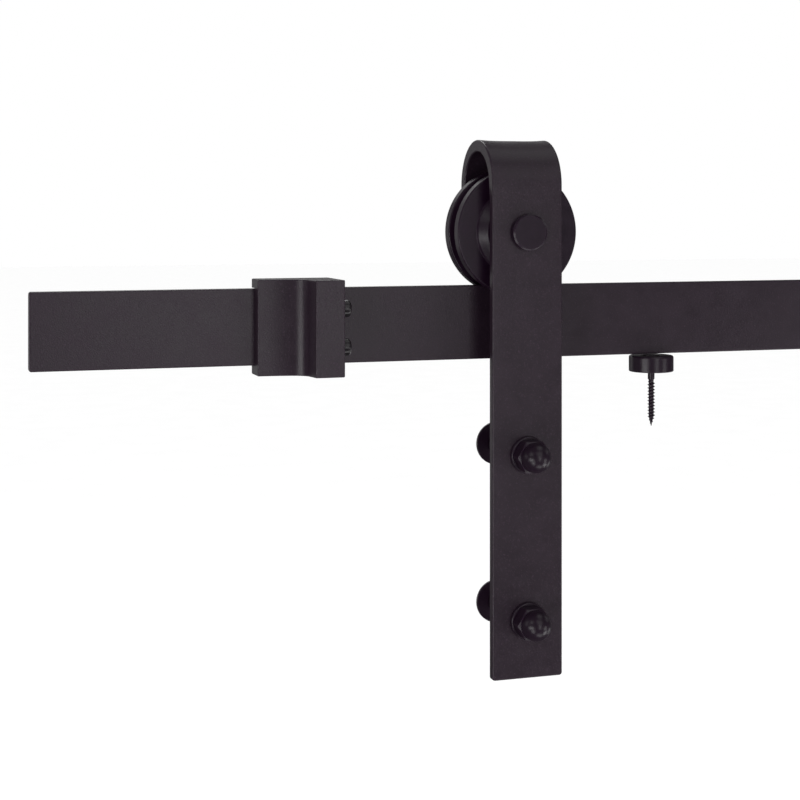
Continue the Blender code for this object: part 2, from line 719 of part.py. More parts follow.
def make_finishes():
    return {
        "powder_coat": new_material("powder_coat", (0.038, 0.033, 0.036), 0.55, 0.0),
        "wheel_black": new_material("wheel_black", (0.030, 0.026, 0.030), 0.40, 0.0),
        "black_steel": new_material("black_steel", (0.018, 0.016, 0.018), 0.32, 0.0),
        "bearing_steel": new_material("bearing_steel", (0.55, 0.55, 0.57), 0.25, 1.0),
        "rubber": new_material("rubber", (0.012, 0.012, 0.012), 0.35, 0.0),
    }


clear_scene()
parts = new_collection("sliding_barn_door_hardware")
workshop = new_collection("workshop")
piece_shapes = make_shapes()
piece_finishes = make_finishes()
add_track(piece_shapes, piece_finishes)
for side_name, side_sign in SIDES.items():
    add_stop(side_name, side_sign, piece_shapes, piece_finishes)
    add_hanger(side_name, side_sign, piece_shapes, piece_finishes)
bpy.data.collections.remove(workshop)
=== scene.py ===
import json
import math

import bmesh
import bpy
from mathutils import Matrix, Vector

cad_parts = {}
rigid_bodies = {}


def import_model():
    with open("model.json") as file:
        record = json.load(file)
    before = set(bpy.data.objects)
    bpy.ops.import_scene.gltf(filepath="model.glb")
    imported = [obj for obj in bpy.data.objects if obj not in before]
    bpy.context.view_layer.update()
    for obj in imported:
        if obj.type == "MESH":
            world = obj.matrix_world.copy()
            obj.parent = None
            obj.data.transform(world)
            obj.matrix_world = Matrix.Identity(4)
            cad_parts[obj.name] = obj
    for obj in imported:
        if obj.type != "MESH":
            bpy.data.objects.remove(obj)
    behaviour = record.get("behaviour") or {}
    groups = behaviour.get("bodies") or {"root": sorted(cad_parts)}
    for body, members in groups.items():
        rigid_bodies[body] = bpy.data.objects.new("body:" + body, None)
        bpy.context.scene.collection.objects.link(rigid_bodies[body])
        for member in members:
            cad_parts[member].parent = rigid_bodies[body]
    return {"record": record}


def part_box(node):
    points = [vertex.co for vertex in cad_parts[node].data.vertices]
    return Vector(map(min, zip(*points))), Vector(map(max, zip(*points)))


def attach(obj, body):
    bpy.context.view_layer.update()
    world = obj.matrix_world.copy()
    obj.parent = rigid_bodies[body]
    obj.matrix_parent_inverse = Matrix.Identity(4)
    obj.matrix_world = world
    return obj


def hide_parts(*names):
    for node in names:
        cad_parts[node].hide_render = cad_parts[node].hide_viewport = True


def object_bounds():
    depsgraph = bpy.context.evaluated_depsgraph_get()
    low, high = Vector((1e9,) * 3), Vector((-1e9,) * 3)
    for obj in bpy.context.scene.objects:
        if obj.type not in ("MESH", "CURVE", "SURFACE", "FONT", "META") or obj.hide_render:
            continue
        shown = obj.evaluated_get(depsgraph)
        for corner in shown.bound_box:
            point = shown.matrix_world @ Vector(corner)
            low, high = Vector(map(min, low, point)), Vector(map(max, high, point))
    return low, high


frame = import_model()
CAD_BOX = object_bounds()

# The body that each node rides on
BODY_OF = {node: body for body, nodes in frame["record"]["behaviour"]["bodies"].items() for node in nodes}
SIDES = {"left": -1, "right": 1}
LEVELS = ("upper", "lower")

FORWARD = (math.pi / 2, 0.0, 0.0)  # local Z looks to the front, -Y
UPRIGHT = (0.0, 0.0, 0.0)
TIP = Matrix.Rotation(math.pi / 2, 4, "X")  # does the same to a cutter
MERGE = 1e-7
SHARP_DEGREES = 38
STEPS = 72  # points round a small turned piece
RACE_STEPS = 96  # and round a race or a disc
WHEEL_STEPS = 144
THREAD_ROWS = 10  # rings to one turn of a thread

# The flat bars and what fits them, in metres. A round piece is given by its radius.
GAP = 0.0003  # between pieces that touch
RAIL_THICKNESS = 0.006
FIXING_HOLE = 0.0046
STRAP_THICKNESS = 0.005
BACK_LEG_BELOW_AXLE = 0.020
BOLT_HOLE = 0.0054
BUMPER_PROUD = 0.0046  # how far a bumper stands out of its stop
SOCKET = 0.0028  # the bumper's hole in the stop
SOCKET_DEPTH = 0.0063
SET_SCREW_HOLE = 0.0031

# The M10 fasteners
M10 = 0.0050
M10_CORE = 0.0042
M10_TIP = 0.0040  # at the chamfered end
M10_PITCH = 0.0015
BORE = 0.0053  # of a nut, washer or spacer on an M10 thread
WALL_BORE = 0.0043  # of the lag bolt's washer
HEX = 0.0165  # across flats
HEX_CORNER = 0.0009
HEX_FACE = 0.965  # how much of a hexagon's width its chamfer leaves flat
CAP_NUT_HEX = 0.0077  # height

# The bearing's races: the radius of the plain side, of the shoulders and of the bottom of the ball track
OUTER_RACE = (0.0150, 0.0116, 0.0125)
INNER_RACE = (BORE, 0.0084, 0.0075)

# Base colours
POWDER = (0.0280, 0.0150, 0.0268)
PLATED = (0.0200, 0.0090, 0.0205)
WHEEL = (0.0175, 0.0055, 0.0180)
STEEL = (0.55, 0.55, 0.57)
RUBBER = (0.018, 0.014, 0.018)
FLOOR_DARK = (0.86, 0.86, 0.86)
FLOOR_LIGHT = (0.90, 0.90, 0.90)

# The camera: a long lens to the left of the left hanger, level and with a lowered picture
LENS = 74.2
SENSOR = 36.0
CAMERA_SHIFT = -0.2451
CAMERA_PLACE = (-0.3310, -0.8430, 0.0152)  # from the left wheel's middle
CAMERA_TURN = -17.6  # degrees

FLOOR_BELOW = 0.90  # the hardware hangs on a wall
FLOOR_SIZE = 30.0
BACKDROP = (1.0, 1.0, 1.0)
ROOM = (0.087, 0.087, 0.087)  # the light from all round
FLOOR_LAMP = 3.4
SOFTBOX_DISTANCE = 1.8  # from the left hanger
# Each softbox: its name, degrees to the right of the front, degrees up, width, height and power
SOFTBOXES = (
    ("front_box", 6, -2, 0.54, 0.94, 3.0),
    ("high_front_box", 9, 34, 1.30, 1.20, 3.5),
    ("right_box", 49, -16, 0.60, 0.60, 2.8),
    ("low_box", 58, -41, 0.50, 0.55, 4.2),
    ("low_right_box", 98, -30, 0.60, 0.60, 1.4),
    ("left_strip", -58, -11, 1.10, 0.40, 6.2),
    ("high_left_box", -65, 30, 0.80, 0.60, 1.8),
    ("low_left_box", -45, -34, 0.50, 0.60, 3.2),
    ("top_box", 80, 70, 1.30, 1.00, 2.4),
    ("bottom_box", 15, -60, 1.00, 0.60, 3.5),
    ("high_back_box", 180, 50, 0.80, 0.80, 8.0),
    ("left_back_box", -150, 8, 0.70, 1.50, 1.7),
    ("left_side_box", -105, 10, 0.60, 0.80, 1.2),
    ("right_side_box", 96, 20, 0.80, 0.60, 1.2),
    ("right_back_box", 130, -24, 0.90, 0.70, 3.2),
    ("back_box", 178, 28, 1.20, 0.60, 2.0),
)
GLARING = ("right_back_box",)  # doesn't light the cap nuts, because it would glare along their domes' edges


# ---------------------------------------------------------------- outlines and rings


def rounded_path(corners, closed=False, steps=5):
    """A path through (x, y, radius) corners, with an arc of that radius at each one."""
    points = []
    last = len(corners) - 1
    for i, (x, y, radius) in enumerate(corners):
        here = Vector((x, y))
        if radius == 0 or (not closed and i in (0, last)):
            points.append((x, y))
            continue
        back = (Vector(corners[i - 1][:2]) - here).normalized()
        ahead = (Vector(corners[(i + 1) % len(corners)][:2]) - here).normalized()
        half = back.angle(ahead) / 2
        centre = here + (back + ahead).normalized() * (radius / math.sin(half))
        first = here + back * (radius / math.tan(half)) - centre
        final = here + ahead * (radius / math.tan(half)) - centre
        start = math.atan2(first.y, first.x)
        turn = math.remainder(math.atan2(final.y, final.x) - start, math.tau)
        for k in range(steps + 1):
            angle = start + turn * k / steps
            points.append((centre.x + radius * math.cos(angle), centre.y + radius * math.sin(angle)))
    return points


def circle(radius, height, steps=STEPS):
    angles = [math.tau * i / steps for i in range(steps)]
    return [(radius * math.cos(a), radius * math.sin(a), height) for a in angles]


def circles(corners, steps=STEPS, arc_steps=4, closed=False):
    """Rings along a (radius, height, rounding) profile."""
    return [circle(r, h, steps) for r, h in rounded_path(corners, closed, arc_steps)]


def hexagon(across_flats, height, chamfer=0):
    """A ring round a hexagon with slightly rounded corners, one of them at +X.

    A chamfer of 1 or -1 drops or lifts its corners along the 30 degree cone of a machined hexagon.
    """
    reach = across_flats / 2 / math.cos(math.pi / 6)
    angles = [k * math.pi / 3 for k in range(6)]
    corners = [(reach * math.cos(a), reach * math.sin(a), HEX_CORNER) for a in angles]
    count, spans = 5, 8  # points round each corner, and spans along each flat
    arcs = rounded_path(corners, closed=True, steps=count - 1)
    ring = []
    for k in range(0, len(arcs), count):
        start = Vector(arcs[k + count - 1])
        end = Vector(arcs[(k + count) % len(arcs)])
        ring += [Vector(point) for point in arcs[k : k + count]]
        ring += [start.lerp(end, j / spans) for j in range(1, spans)]
    face = across_flats / 2 * HEX_FACE
    slope = chamfer * math.tan(math.pi / 6)
    return [(p.x, p.y, height - max(0.0, p.length - face) * slope) for p in ring]


def hex_face(across_flats, height):
    """The circle where the chamfer of a hexagon meets its flat face."""
    return circle(across_flats / 2 * HEX_FACE, height)


def thread(low, high, radius, core, pitch, form, point=0.0):
    """Rings of a screw thread from one height to another. Its first part can taper to a point."""
    tip = 0.06  # the end of the point, as a share of the thread's size
    rings = []
    count = round((high - low) / pitch * THREAD_ROWS)
    for i in range(count + 1):
        height = low + (high - low) * i / count
        fade = min(1.0, (height - low) / pitch, (high - height) / pitch)
        size = min(1.0, tip + (height - low) / point) if point else 1.0
        ring = []
        for k in range(STEPS):
            phase = (height / pitch - k / STEPS) % 1.0
            r = size * (core + (radius - core) * form(abs(2 * phase - 1)) * fade)
            ring.append((r * math.cos(math.tau * k / STEPS), r * math.sin(math.tau * k / STEPS), height))
        rings.append(ring)
    return rings


def machine_form(offset):
    """Height of a metric thread across half a pitch: flat crest, straight flank, flat root."""
    return min(1.0, max(0.0, (0.85 - offset) / 0.70))


def wood_form(offset):
    """Height of a wood screw thread: a thin crest on a wide root."""
    return max(0.0, 1.0 - offset / 0.45)


# ---------------------------------------------------------------- meshes


def mesh_of(name, shape):
    bmesh.ops.remove_doubles(shape, verts=shape.verts, dist=MERGE)
    bmesh.ops.recalc_face_normals(shape, faces=shape.faces)
    mesh = bpy.data.meshes.new(name)
    shape.to_mesh(mesh)
    shape.free()
    return mesh


def add_loft(shape, rings, closed):
    rows = [[shape.verts.new(point) for point in ring] for ring in rings]
    pairs = list(zip(rows, rows[1:]))
    if closed:
        pairs.append((rows[-1], rows[0]))
    for low, high in pairs:
        for i in range(len(low)):
            j = (i + 1) % len(low)
            shape.faces.new((low[i], low[j], high[j], high[i]))
    if not closed:
        shape.faces.new(rows[0])
        shape.faces.new(rows[-1])


def loft(name, rings, closed=False):
    """A surface through rings of the same number of points. A closed one joins its last ring to its first."""
    shape = bmesh.new()
    add_loft(shape, rings, closed)
    return mesh_of(name, shape)


def prism(name, outline, low, high):
    return loft(name, [[(x, y, z) for x, y in outline] for z in (low, high)])


def block(name, low, high):
    (x0, y0, z0), (x1, y1, z1) = low, high
    return prism(name, [(x0, y0), (x1, y0), (x1, y1), (x0, y1)], z0, z1)


def rod(name, radius, low, high):
    return loft(name, [circle(radius, low, 48), circle(radius, high, 48)])


def applied(mesh, cutters, bevel=0.0):
    """Subtract (mesh, matrix) cutters from a mesh, whose edges are rounded first if a bevel is given."""
    obj = bpy.data.objects.new(mesh.name, mesh)
    bpy.context.scene.collection.objects.link(obj)
    helpers = [obj]
    if bevel:
        rounding = obj.modifiers.new("rounded edges", "BEVEL")
        rounding.width = bevel
        rounding.segments = 4
        rounding.limit_method = "ANGLE"
        rounding.angle_limit = math.radians(30)
        obj.modifiers.new("flat faces", "TRIANGULATE")
    for tool, matrix in cutters:
        helper = bpy.data.objects.new(tool.name, tool)
        helper.matrix_world = matrix
        bpy.context.scene.collection.objects.link(helper)
        boolean = obj.modifiers.new(tool.name, "BOOLEAN")
        boolean.operation = "DIFFERENCE"
        boolean.solver = "MANIFOLD"
        boolean.object = helper
        helpers.append(helper)
    bpy.context.view_layer.update()
    graph = bpy.context.evaluated_depsgraph_get()
    result = bpy.data.meshes.new_from_object(obj.evaluated_get(graph))
    result.name = mesh.name
    for helper in helpers:
        bpy.data.objects.remove(helper)
    return result


# ---------------------------------------------------------------- standing in for CAD nodes


def both(piece):
    return [f"{side}_{piece}" for side in SIDES]


def all_four(piece):
    return [f"{side}_{level}_{piece}" for side in SIDES for level in LEVELS]


def centre_of(node):
    low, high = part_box(node)
    return (low + high) / 2


def outer_end(node):
    """The middle of a node's end that is farther from the middle of the rail."""
    low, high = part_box(node)
    place = centre_of(node)
    place.x = low.x if place.x < 0 else high.x
    return place


def stop_base(node):
    """A stop's outer end, at the rail's front face."""
    return Vector((outer_end(node).x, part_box("rail")[0].y, 0.0))


def turned_size(node):
    """The radius and the length of a node that is turned round Y."""
    low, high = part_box(node)
    return (high.x - low.x) / 2, high.y - low.y


def stand_for(nodes, mesh, material, rotation=FORWARD, base=None):
    """Show a finely modelled piece in the place of CAD nodes.

    Without a base its Z = 0 is at the back of a node that looks forward, or at the foot of an upright one.
    """
    mesh.materials.clear()
    mesh.materials.append(material)
    mesh.shade_smooth()
    mesh.set_sharp_from_angle(angle=math.radians(SHARP_DEGREES))
    for node in nodes:
        low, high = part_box(node)
        place = centre_of(node)
        if rotation == FORWARD:
            place.y = high.y
        elif rotation == UPRIGHT:
            place.z = low.z
        obj = bpy.data.objects.new(f"fine_{node}", mesh)
        obj.location = base(node) if base else place
        obj.rotation_euler = rotation
        bpy.context.scene.collection.objects.link(obj)
        shading = obj.modifiers.new("even shading", "WEIGHTED_NORMAL")
        shading.keep_sharp = True
        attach(obj, BODY_OF[node])
        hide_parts(node)


# ---------------------------------------------------------------- materials


class Nodes:
    """Short calls that add and link the shader nodes of one material."""

    def __init__(self, name):
        self.material = bpy.data.materials.new(f"fine_{name}")
        self.material.use_nodes = True
        self.tree = self.material.node_tree
        self.shader = self.tree.nodes["Principled BSDF"]
        self.place = self.add("ShaderNodeTexCoord").outputs["Object"]

    def add(self, kind, **settings):
        node = self.tree.nodes.new(kind)
        for key, value in settings.items():
            setattr(node, key, value)
        return node

    def link(self, source, target):
        self.tree.links.new(source, target)

    def noise(self, scale, detail=3.0, roughness=0.5, stretch=None):
        """Noise with the given number of features to the metre, which a stretch can draw out."""
        node = self.add("ShaderNodeTexNoise")
        node.inputs["Scale"].default_value = scale
        node.inputs["Detail"].default_value = detail
        node.inputs["Roughness"].default_value = roughness
        place = self.place
        if stretch:
            mapping = self.add("ShaderNodeMapping")
            mapping.inputs["Scale"].default_value = stretch
            self.link(place, mapping.inputs["Vector"])
            place = mapping.outputs["Vector"]
        self.link(place, node.inputs["Vector"])
        return node.outputs["Fac"]

    def to_range(self, value, low, high, new_low, new_high):
        node = self.add("ShaderNodeMapRange")
        for key, number in zip(("From Min", "From Max", "To Min", "To Max"), (low, high, new_low, new_high)):
            node.inputs[key].default_value = number
        self.link(value, node.inputs["Value"])
        return node.outputs["Result"]

    def math(self, operation, a, b=0.0):
        node = self.add("ShaderNodeMath", operation=operation)
        for value, socket in zip((a, b), node.inputs):
            if isinstance(value, (int, float)):
                socket.default_value = value
            else:
                self.link(value, socket)
        return node.outputs[0]

    def mix(self, factor, a, b):
        """From one colour to another, each of them a colour or a socket."""
        node = self.add("ShaderNodeMix", data_type="RGBA")
        for value, socket in ((factor, node.inputs[0]), (a, node.inputs[6]), (b, node.inputs[7])):
            if isinstance(value, tuple):
                socket.default_value = (*value, 1.0)
            else:
                self.link(value, socket)
        return node.outputs[2]

    def edge_wear_and_sheen(self, radius, low, high):
        """1 along the edges and 0 on flat faces, broken up by noise between the two thresholds. It marks
        wear, and where a colour is lightened by it, a painted edge highlight too.
        """
        bevel = self.add("ShaderNodeBevel", samples=4)
        bevel.inputs["Radius"].default_value = radius
        geometry = self.add("ShaderNodeNewGeometry")
        dot = self.add("ShaderNodeVectorMath", operation="DOT_PRODUCT")
        self.link(bevel.outputs["Normal"], dot.inputs[0])
        self.link(geometry.outputs["Normal"], dot.inputs[1])
        edge = self.to_range(dot.outputs["Value"], 0.998, 0.93, 0.0, 1.0)
        return self.math("MULTIPLY", edge, self.to_range(self.noise(420, 4.0, 0.65), low, high, 0.0, 1.0))

    def bump(self, height, distance, strength=1.0, under=None):
        node = self.add("ShaderNodeBump")
        node.inputs["Distance"].default_value = distance
        node.inputs["Strength"].default_value = strength
        self.link(height, node.inputs["Height"])
        if under is not None:
            self.link(under, node.inputs["Normal"])
        return node.outputs["Normal"]

    def finish(self, colour, roughness, normal):
        self.link(colour, self.shader.inputs["Base Color"])
        self.link(roughness, self.shader.inputs["Roughness"])
        self.link(normal, self.shader.inputs["Normal"])
        return self.material


def times(colour, factor):
    return tuple(channel * factor for channel in colour)


def powder_coat(name, colour, roughness):
    """Baked black powder: orange peel, faint mottling and light specks, smoother on the edges and lighter
    there, which is wear and a painted edge highlight.
    """
    n = Nodes(name)
    mottle = n.noise(90, 4.0, 0.6)
    edge_wear_and_sheen = n.edge_wear_and_sheen(0.0009, 0.35, 0.75)
    base = n.mix(n.to_range(mottle, 0.3, 0.7, 0.0, 1.0), times(colour, 0.90), times(colour, 1.12))
    grain = n.noise(1300, 2.0, 0.6)
    base = n.mix(n.to_range(grain, 0.58, 0.72, 0.0, 0.8), base, times(colour, 2.3))
    # Painted edge highlight, with some wear: the edges' colour is lightened.
    base = n.mix(n.math("MULTIPLY", edge_wear_and_sheen, 0.4), base, times(colour, 3.0))
    rough = n.to_range(mottle, 0.3, 0.7, roughness - 0.02, roughness + 0.03)
    rough = n.math("ADD", rough, n.to_range(grain, 0.35, 0.7, -0.03, 0.08))
    rough = n.math("SUBTRACT", rough, n.math("MULTIPLY", edge_wear_and_sheen, 0.10))
    peel = n.bump(n.noise(450, 2.0), 0.00005, 0.5)
    return n.finish(base, rough, n.bump(grain, 0.00008, 0.9, peel))


def black_steel(name, colour, roughness):
    """Satin black over machined steel: soft scratches, and shiny rubs on the edges whose lighter colour is
    wear and a painted edge highlight.
    """
    n = Nodes(name)
    n.shader.inputs["Specular IOR Level"].default_value = 0.43
    cloud = n.noise(160, 4.0, 0.6)
    scratch = n.noise(900, 3.0, 0.6, stretch=(1.0, 1.0, 0.12))
    base = n.mix(n.to_range(cloud, 0.3, 0.7, 0.0, 1.0), times(colour, 0.88), times(colour, 1.15))
    edge_wear_and_sheen = n.edge_wear_and_sheen(0.0005, 0.36, 0.62)
    # Painted edge highlight, with some wear: the edges' colour is lightened.
    base = n.mix(n.math("MULTIPLY", edge_wear_and_sheen, 0.6), base, times(colour, 5.0))
    rough = n.to_range(scratch, 0.25, 0.75, roughness - 0.02, roughness + 0.03)
    rough = n.math("SUBTRACT", rough, n.math("MULTIPLY", edge_wear_and_sheen, 0.12))
    return n.finish(base, rough, n.bump(scratch, 0.000002, 0.5))


def wheel_black(name, colour, roughness):
    """The wheel: satin black over fine lathe rings round its own axis."""
    n = Nodes(name)
    n.shader.inputs["Specular IOR Level"].default_value = 0.38
    split = n.add("ShaderNodeSeparateXYZ")
    n.link(n.place, split.inputs[0])
    squares = [n.math("MULTIPLY", split.outputs[i], split.outputs[i]) for i in (0, 1)]
    radius = n.math("POWER", n.math("ADD", *squares), 0.5)
    wobble = n.math("MULTIPLY", n.noise(60, 2.0), 0.0004)
    rings = n.math("SINE", n.math("MULTIPLY", n.math("ADD", radius, wobble), 15000.0))
    cloud = n.noise(120, 4.0, 0.6)
    base = n.mix(n.to_range(cloud, 0.3, 0.7, 0.0, 1.0), times(colour, 0.85), times(colour, 1.25))
    # Painted edge highlight, with some wear: the edges' colour is lightened.
    base = n.mix(n.math("MULTIPLY", n.edge_wear_and_sheen(0.0007, 0.40, 0.72), 0.5), base, times(colour, 3.5))
    rough = n.to_range(cloud, 0.3, 0.7, roughness - 0.05, roughness + 0.06)
    grain = n.bump(n.noise(1300, 2.0, 0.6), 0.000012, 0.5)
    return n.finish(base, rough, n.bump(rings, 0.000003, 0.3, grain))


def bearing_steel(name, colour, roughness):
    """Bare ground steel under an oily film that varies its gloss."""
    n = Nodes(name)
    n.shader.inputs["Metallic"].default_value = 1.0
    film = n.noise(300, 4.0, 0.6)
    base = n.mix(n.to_range(film, 0.35, 0.7, 0.0, 1.0), colour, times(colour, 0.6))
    rough = n.to_range(film, 0.3, 0.7, roughness, roughness + 0.18)
    return n.finish(base, rough, n.bump(n.noise(1800, 2.0), 0.00001, 0.4))


def rubber(name, colour, roughness):
    """Smooth moulded rubber with a slight bloom."""
    n = Nodes(name)
    bloom = n.noise(500, 4.0, 0.6)
    base = n.mix(n.to_range(bloom, 0.35, 0.75, 0.0, 1.0), colour, times(colour, 1.3))
    rough = n.to_range(bloom, 0.3, 0.7, roughness - 0.01, roughness + 0.03)
    return n.finish(base, rough, n.bump(n.noise(2200, 2.0), 0.000003, 0.4))


# ---------------------------------------------------------------- flat bars


def bar_section(half_width, half_thickness, radius, spans=10):
    """Points (across, through) round the section of a flat bar with rounded corners."""
    steps = 5  # round each corner
    ring = []
    for quarter, (sx, sy) in enumerate(((1, 1), (-1, 1), (-1, -1), (1, -1))):
        cx = sx * (half_width - radius)
        cy = sy * (half_thickness - radius)
        for k in range(steps + 1):
            angle = math.pi / 2 * (quarter + k / steps)
            ring.append((cx + radius * math.cos(angle), cy + radius * math.sin(angle)))
        if quarter in (0, 2):
            x, y = ring[-1]
            ring += [(x - 2 * cx * k / spans, y) for k in range(1, spans)]
    return ring


def end_inset(distance, radius):
    """How far a rounded end draws its outline in, at a distance from the very end."""
    gone = max(0.0, radius - distance)
    return radius - math.sqrt(max(0.0, radius * radius - gone * gone))


def end_steps(radius, count=6):
    """Distances from a rounded end of a bar, close together where it curves most."""
    return [radius * (1 - math.cos(math.pi / 2 * k / count)) for k in range(count + 1)]


def strap_mesh():
    """The J-strap, swept along its bend, with its origin on the axle.

    Bending has swollen the bar's edges a little, most on the inside, where the metal is squeezed.
    """
    low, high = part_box("left_hanger_strap")
    axle = centre_of("left_wheel")
    half_width = (high.x - low.x) / 2
    half_thickness = STRAP_THICKNESS / 2
    radius = (high.y - low.y) / 2 - half_thickness
    arch = high.z - axle.z - radius - half_thickness
    bottom = low.z - axle.z
    edge, corner = 0.0009, 0.0016
    lift, outer_swell, inner_swell, fade = 0.0005, 0.0006, 0.0011, 0.009
    bend_steps, fade_steps = 48, 8
    # Each station: distance in front of the axle, height, turn of the bar and distance from the bar's end
    stations = [(radius, bottom + step, 0.0, step) for step in end_steps(corner)]
    for share in (0.1, 0.3, 0.5, 0.7, 0.9):
        stations.append((radius, bottom + (arch - bottom) * share, 0.0, corner))
    for k in range(fade_steps):
        stations.append((radius, arch - fade * (fade_steps - k) / fade_steps, 0.0, corner))
    for i in range(bend_steps + 1):
        turn = math.pi * i / bend_steps
        stations.append((radius * math.cos(turn), arch + radius * math.sin(turn), turn, corner))
    for k in range(fade_steps):
        stations.append((-radius, arch - fade * (k + 1) / fade_steps, math.pi, corner))
    stations += [(-radius, arch - 0.015, math.pi, corner), (-radius, 0.0, math.pi, corner)]
    for step in reversed(end_steps(corner)):
        stations.append((-radius, step - BACK_LEG_BELOW_AXLE, math.pi, step))
    rings = []
    for forward, height, turn, from_end in stations:
        across_share = 1 - end_inset(from_end, corner) / half_width
        through_share = 1 - end_inset(min(from_end, edge), edge) / half_thickness
        near = min(1.0, max(0.0, 1 - (arch - height) / fade))
        bend = near * near * (3 - 2 * near)
        ring = []
        for across, through in bar_section(half_width, half_thickness, edge):
            inside = (1 - through / half_thickness) / 2
            swell = outer_swell * math.sin(turn) * (1 - inside) - inner_swell * bend * inside
            out = through * through_share + lift * math.sin(turn) + swell * abs(across / half_width) ** 4
            y = -forward - out * math.cos(turn)
            ring.append((across * across_share, y, height + out * math.sin(turn)))
        rings.append(ring)
    through_both = rod("axle_hole", BOLT_HOLE, -0.05, 0.05)
    through_front = rod("bolt_hole", BOLT_HOLE, 0.0, 0.05)
    cutters = [(through_both, TIP)]
    for level in LEVELS:
        height = centre_of(f"left_{level}_cap_nut").z - axle.z
        cutters.append((through_front, Matrix.Translation((0.0, 0.0, height)) @ TIP))
    return applied(loft("hanger_strap", rings), cutters)


def rail_mesh():
    """The flat bar with eased edges and its two fixing holes."""
    low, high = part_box("rail")
    length, thickness, height = (high - low) / 2
    edge, corner, spans = 0.0007, 0.0012, 16
    ends = end_steps(corner)
    stations = [(step - length, step) for step in ends]
    stations += [(length * k / spans, corner) for k in range(1 - spans, spans)]
    stations += [(length - step, step) for step in reversed(ends)]
    rings = []
    for x, from_end in stations:
        across_share = 1 - end_inset(from_end, corner) / height
        through_share = 1 - end_inset(min(from_end, edge), edge) / thickness
        section = bar_section(height, thickness, edge)
        rings.append([(x, through * through_share, across * across_share) for across, through in section])
    hole = rod("fixing_hole", FIXING_HOLE, -0.02, 0.02)
    cutters = []
    for bolt in both("wall_bolt"):
        cutters.append((hole, Matrix.Translation((centre_of(bolt).x, 0.0, 0.0)) @ TIP))
    return applied(loft("rail", rings), cutters)


# ---------------------------------------------------------------- end stops


def bezier(start, control, end, steps):
    """Points on a quadratic curve."""
    points = []
    for i in range(steps + 1):
        a = Vector(start).lerp(Vector(control), i / steps)
        b = Vector(control).lerp(Vector(end), i / steps)
        points.append(tuple(a.lerp(b, i / steps)))
    return points


def stop_mesh(side):
    """The stop: a plate over the rail that sweeps up into a block.

    Its origin is on its outer end, at the rail's front face, halfway up.
    """
    low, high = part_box(f"{side}_stop_body")
    length, depth, height = high - low
    inwards = -SIDES[side]
    # How far the stop's back, its block and its plate lie in front of the rail's front face
    behind = centre_of("rail").y - RAIL_THICKNESS / 2 - high.y
    front = depth + behind
    plate = 0.007
    ramp_end = (0.0190, plate + 0.0025)
    fillet_end = (0.0249, plate + 0.0087)
    outline = [(0.0, behind)]
    outline += bezier((0.0, plate), (0.0110, plate + 0.0001), ramp_end, 12)
    outline += bezier(ramp_end, (0.0239, plate + 0.0040), fillet_end, 20)[1:]
    outline += [(0.0265, front), (length, front), (length, behind)]
    points = [(inwards * x, -forward) for x, forward in outline]
    body = prism("stop_body", points, -height / 2, height / 2)
    rail_low, rail_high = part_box("rail")
    slot = (rail_high.z - rail_low.z) / 2 + GAP
    channel = block("channel", (-0.1, -GAP, -slot), (0.1, 0.05, slot))
    screw_hole = rod("screw_hole", SET_SCREW_HOLE, -0.05, 0.0)
    socket = rod("socket", SOCKET, -SOCKET_DEPTH, 0.01)
    cutters = [(channel, Matrix())]
    outer_x = low.x if side == "left" else high.x
    for position in ("outer", "inner"):
        x = centre_of(f"{side}_stop_{position}_set_screw").x - outer_x
        cutters.append((screw_hole, Matrix.Translation((x, RAIL_THICKNESS / 2, 0.0))))
    lay = Matrix.Rotation(inwards * math.pi / 2, 4, "Y")
    for level in LEVELS:
        bumper = centre_of(f"{side}_stop_{level}_bumper")
        place = Matrix.Translation((inwards * length, bumper.y - rail_low.y, bumper.z))
        cutters.append((socket, place @ lay))
    return applied(body, cutters, bevel=0.0006)


def bumper_mesh():
    """A push-in rubber button on its stem, whose origin is at the end of the stem."""
    low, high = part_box("left_stop_upper_bumper")
    length = high.x - low.x
    radius = (high.z - low.z) / 2
    stem = SOCKET - GAP
    seat = length - BUMPER_PROUD + GAP
    corners = [(0.0, 0.0, 0.0), (stem, 0.0, 0.0004), (stem, seat, 0.0), (radius, seat, 0.0003)]
    corners += [(radius, length - 0.0005, 0.0017), (0.45 * radius, length, 0.003), (0.0, length, 0.0)]
    return loft("bumper", circles(corners, 64, 8))


def set_screw_mesh():
    """A grub screw that stands on its hexagon socket."""
    low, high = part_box("left_stop_outer_set_screw")
    radius, length = (high.x - low.x) / 2, high.z - low.z
    core = radius - 0.0005
    pitch, lead = 0.001, 0.0004
    key, key_depth, drill_depth = 0.003, 0.0025, 0.0030
    cup, cup_depth = 0.0018, 0.0008
    rings = [circle(0.0, drill_depth), hexagon(key, key_depth), hexagon(key, 0.0), circle(core, 0.0)]
    rings += thread(lead, length - lead, radius, core, pitch, machine_form)
    rings += [circle(cup, length), circle(0.0, length - cup_depth)]
    return loft("set_screw", rings)


# ---------------------------------------------------------------- wheel and bearing


def wheel_mesh():
    """A grooved wheel with rounded rims and a raised hub, bored for its bearing."""
    radius, width = turned_size("left_wheel")
    middle = width / 2
    face, hub_foot = 0.0109, 0.0120
    lip, groove_floor, groove_depth = 0.00425, 0.00365, 0.0058
    fit, lip_under_bearing = 0.0001, 0.002
    seat, bearing_width = turned_size("left_bearing_outer_race")
    seat += fit
    corners = [
        (0.0190, width, 0.0014),
        (0.0208, width - 0.0016, 0.0014),
        (0.0232, middle + hub_foot, 0.0010),
        (0.0240, middle + face, 0.0003),
        (radius, middle + face, 0.0009),
        (radius, middle + lip, 0.0009),
        (radius - groove_depth, middle + groove_floor, 0.0008),
    ]
    corners += [(r, width - h, e) for r, h, e in reversed(corners)]
    shoulder = middle - bearing_width / 2 - fit
    corners += [(seat - lip_under_bearing, 0.0, 0.0005), (seat - lip_under_bearing, shoulder, 0.0)]
    corners += [(seat, shoulder, 0.0), (seat, width, 0.0007)]
    return loft("wheel", circles(corners, WHEEL_STEPS, 5, closed=True), closed=True)


